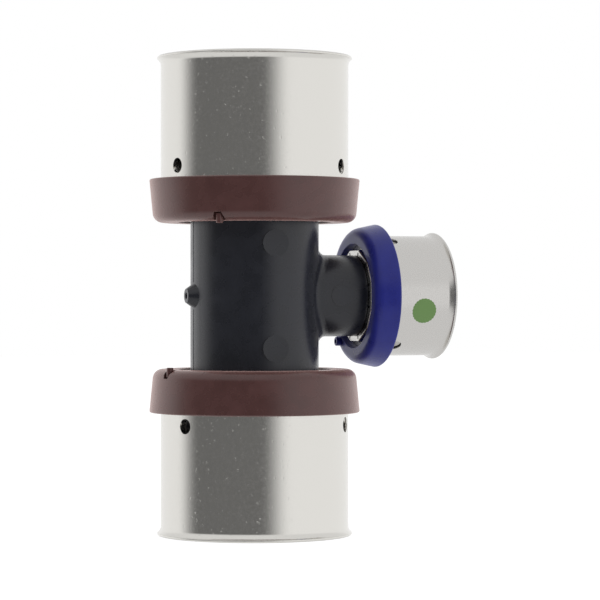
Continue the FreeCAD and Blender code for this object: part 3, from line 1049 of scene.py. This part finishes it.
@dataclass
class LightTent:
    """The white tent, its dark front, the pale floor and the camera.

    The camera's numbers follow the photograph, whose frame is 600 pixels wide. The run's axis stands at
    axis_px and the branch's height at centre_px. The azimuths say where the dark front fades out on
    each side, and the heights where it fades out above and below.
    """

    distance: float = 532.0
    azimuth: float = -19.0
    scale: float = 0.197
    frame_px: int = 600
    axis_px: float = 254.6
    centre_px: float = 295.8
    sensor: float = 36.0
    clip: tuple[float, float] = (0.01, 10.0)
    dark_left: tuple[float, float] = (-127.0, -93.0)
    dark_right: tuple[float, float] = (-10.0, 26.0)
    dark_level: float = 0.16
    dark_heights: tuple[float, float] = (0.18, 0.46)
    white_level: float = 1.0
    over_level: float = 0.85
    floor_size: float = 3.0
    paper_glow: float = 0.85
    paper_shade: float = 0.3

    def hang_tent(self) -> None:
        """Make the world: white to the camera, and white with a dark front to the object."""
        world = bpy.data.worlds.new("light_tent")
        bpy.context.scene.world = world
        world.use_nodes = True
        tree = world.node_tree
        tree.nodes.clear()
        ray = add_node(tree, "ShaderNodeTexCoord", out="Generated")
        right = add_node(tree, "ShaderNodeSeparateXYZ", {0: ray}, out="X")
        back = add_node(tree, "ShaderNodeSeparateXYZ", {0: ray}, out="Y")
        height = add_node(tree, "ShaderNodeSeparateXYZ", {0: ray}, out="Z")
        front = add_node(tree, "ShaderNodeMath", {0: back, 1: -1.0}, operation="MULTIPLY")
        turn = add_node(tree, "ShaderNodeMath", {0: right, 1: front}, operation="ARCTAN2")
        rise = add_node(tree, "ShaderNodeMath", {0: height}, operation="ABSOLUTE")
        low, high = (math.radians(angle) for angle in self.dark_left)
        inputs = {0: turn, 1: low, 2: high, 3: 1.0, 4: 0.0}
        left_side = add_node(tree, "ShaderNodeMapRange", inputs, interpolation_type="SMOOTHSTEP")
        low, high = (math.radians(angle) for angle in self.dark_right)
        inputs = {0: turn, 1: low, 2: high, 3: 0.0, 4: 1.0}
        right_side = add_node(tree, "ShaderNodeMapRange", inputs, interpolation_type="SMOOTHSTEP")
        inputs = {0: rise, 1: self.dark_heights[0], 2: self.dark_heights[1], 3: 0.0, 4: 1.0}
        over = add_node(tree, "ShaderNodeMapRange", inputs, interpolation_type="SMOOTHSTEP")
        beside = add_node(tree, "ShaderNodeMath", {0: left_side, 1: right_side}, operation="MAXIMUM")
        around = add_node(tree, "ShaderNodeMapRange", {0: beside, 3: self.dark_level, 4: self.white_level})
        tent = add_node(tree, "ShaderNodeMix", {0: over, 2: around, 3: self.over_level}, data_type="FLOAT")
        seen = add_node(tree, "ShaderNodeLightPath", out="Is Camera Ray")
        shown = add_node(tree, "ShaderNodeMath", {0: tent, 1: seen}, operation="MAXIMUM")
        glow = add_node(tree, "ShaderNodeBackground", {"Color": (1, 1, 1, 1), "Strength": shown})
        add_node(tree, "ShaderNodeOutputWorld", {"Surface": glow})

    def lay_floor(self) -> None:
        """Make the pale floor, white to the camera apart from the object's soft shadow.

        It lets the tent's light through to the object from below, and from under it nothing hides the
        object's lower end.
        """
        low = CAD_BOX[0].z
        half = self.floor_size / 2
        mesh = bpy.data.meshes.new("floor")
        corners = [(-half, -half, low), (half, -half, low), (half, half, low), (-half, half, low)]
        mesh.from_pydata(corners, [], [(0, 1, 2, 3)])
        floor = bpy.data.objects.new("floor", mesh)
        bpy.context.scene.collection.objects.link(floor)
        material = bpy.data.materials.new("pale_paper")
        material.use_nodes = True
        tree = material.node_tree
        tree.nodes.clear()
        grey = self.paper_shade
        paper = add_node(tree, "ShaderNodeBsdfDiffuse", {"Color": (grey, grey, grey, 1)})
        glow = add_node(tree, "ShaderNodeEmission", {"Color": (1, 1, 1, 1), "Strength": self.paper_glow})
        above = add_node(tree, "ShaderNodeAddShader", {0: paper, 1: glow})
        below = add_node(tree, "ShaderNodeBsdfTransparent")
        behind = add_node(tree, "ShaderNodeNewGeometry", out="Backfacing")
        sheet = add_node(tree, "ShaderNodeMixShader", {0: behind, 1: above, 2: below})
        add_node(tree, "ShaderNodeOutputMaterial", {"Surface": sheet})
        dress(floor, material)
        floor.visible_glossy = False
        floor.visible_diffuse = False
        floor.visible_shadow = False

    def place_camera(self) -> None:
        """Stand the camera level with the branch, turned so that the run's axis is at its pixel."""
        data = bpy.data.cameras.new("camera")
        camera = bpy.data.objects.new("camera", data)
        bpy.context.scene.collection.objects.link(camera)
        focal_px = self.distance / self.scale
        data.sensor_width = self.sensor
        data.lens = focal_px / self.frame_px * self.sensor
        turn = math.radians(self.azimuth)
        camera.location = Vector((math.sin(turn), -math.cos(turn), 0)) * self.distance * MM
        middle = self.frame_px / 2
        right = math.atan2(middle - self.axis_px, focal_px)
        down = math.atan2(middle - self.centre_px, focal_px)
        camera.rotation_euler = (math.pi / 2 - down, 0, turn - right)
        data.clip_start, data.clip_end = self.clip
        bpy.context.scene.camera = camera

    def set_up(self) -> None:
        """Make all of it."""
        scene = bpy.context.scene
        scene.view_settings.view_transform = "Standard"
        self.hang_tent()
        self.lay_floor()
        self.place_camera()
        log.info("light tent, floor and camera")


def sleeves() -> Iterator[PressSleeve]:
    """The three sleeves with their sizes."""
    for port, turn in ((Port.UPPER, -163.0), (Port.LOWER, 155.5)):
        yield PressSleeve(port, outer=36.9, across_flats=27.4, base_height=2.3, bite_radius=12.18,
                          bend=0.9, flare=1.65, hole=2.95, hole_height=25.15, hole_turn=turn)
    yield PressSleeve(Port.BRANCH, outer=24.0, across_flats=18.3, base_height=1.64, bite_radius=7.7,
                      bend=0.8, flare=1.5, hole=2.8, hole_height=26.85, hole_turn=-155.0)


def rings() -> Iterator[LocatorRing]:
    """The three locator rings with their sizes."""
    for port, turn in ((Port.UPPER, -129.6), (Port.LOWER, 168.4)):
        yield LocatorRing(port, length=8.5, rim=41.4, draft=5.5, corner=1.9, bore=37.1, opening=30.2,
                          end_wall=2.6, pip=1.3, pip_radius=19.0, pip_turn=turn, recess=2.5,
                          recess_depth=1.65)
    yield LocatorRing(Port.BRANCH, length=4.94, rim=28.6, draft=12.0, corner=1.8, bore=24.2,
                      opening=20.8, end_wall=1.94, pip=1.8, pip_radius=11.35, pip_turn=36.0,
                      dimple=0.9, dimple_depth=0.9)


def main() -> None:
    """Build, dress and light the tee."""
    logging.basicConfig(level=logging.INFO, format="%(name)s: %(message)s")
    # Black resin, moulded: nearly black ahead, and grey with the tent's light towards the sides.
    black = MouldedPlastic("moulded_polysulfone_black", colour="#191B23", cloud="#1F212A", haze="#C9C9CE",
                           roughness=0.28, ior=1.5, sheen=0.32).material()
    # Brown pigment in a tough plastic: a warm dark front that goes chalky where the ring turns away.
    brown = MouldedPlastic("moulded_polyamide_brown", colour="#482826", cloud="#522F2D", haze="#DDB5AE",
                           roughness=0.27, ior=1.56, sheen=0.95).material()
    # Blue pigment in the same plastic: deep ultramarine, with a paler violet along its shoulder.
    blue = MouldedPlastic("moulded_polyamide_blue", colour="#202681", cloud="#262D8B", haze="#B4B4D9",
                          roughness=0.3, ior=1.36, sheen=0.5).material()
    # Bright drawn sheet: a dark front between two pale sides, with soft speckled edges.
    run_steel = DrawnSteel("drawn_stainless_run", Lines.ROUND_Z, colour="#DEDCD7", roughness=0.18).material()
    # The branch's sheet lies across, so it shows an even pale grey with lines round the branch.
    branch_steel = DrawnSteel("drawn_stainless_branch", Lines.ROUND_X, colour="#D0CECB",
                              roughness=0.24).material()
    # Painted shade: a near-black, rough steel on the wall's inside and the holes' edges stands in for the
    # shade there.
    shaded_steel = DrawnSteel("drawn_stainless_shaded_inside", Lines.ROUND_Z, colour="#3B3937", roughness=0.55).material()
    # Printed after the drawing: a flat leaf green that hides the metal's lines.
    green = PrintedEnamel("printed_enamel_green", colour="#6E9452").material()
    TeeBody().build(black)
    punch = PunchTree()
    for sleeve in sleeves():
        sleeve.build(punch, branch_steel if sleeve.port is Port.BRANCH else run_steel, shaded_steel)
    for ring in rings():
        branch = ring.port is Port.BRANCH
        ring.build(blue if branch else brown, "branch_ring" if branch else "run_ring")
    SizeMark().build(green)
    LightTent().set_up()


if __name__ == "__main__":
    main()
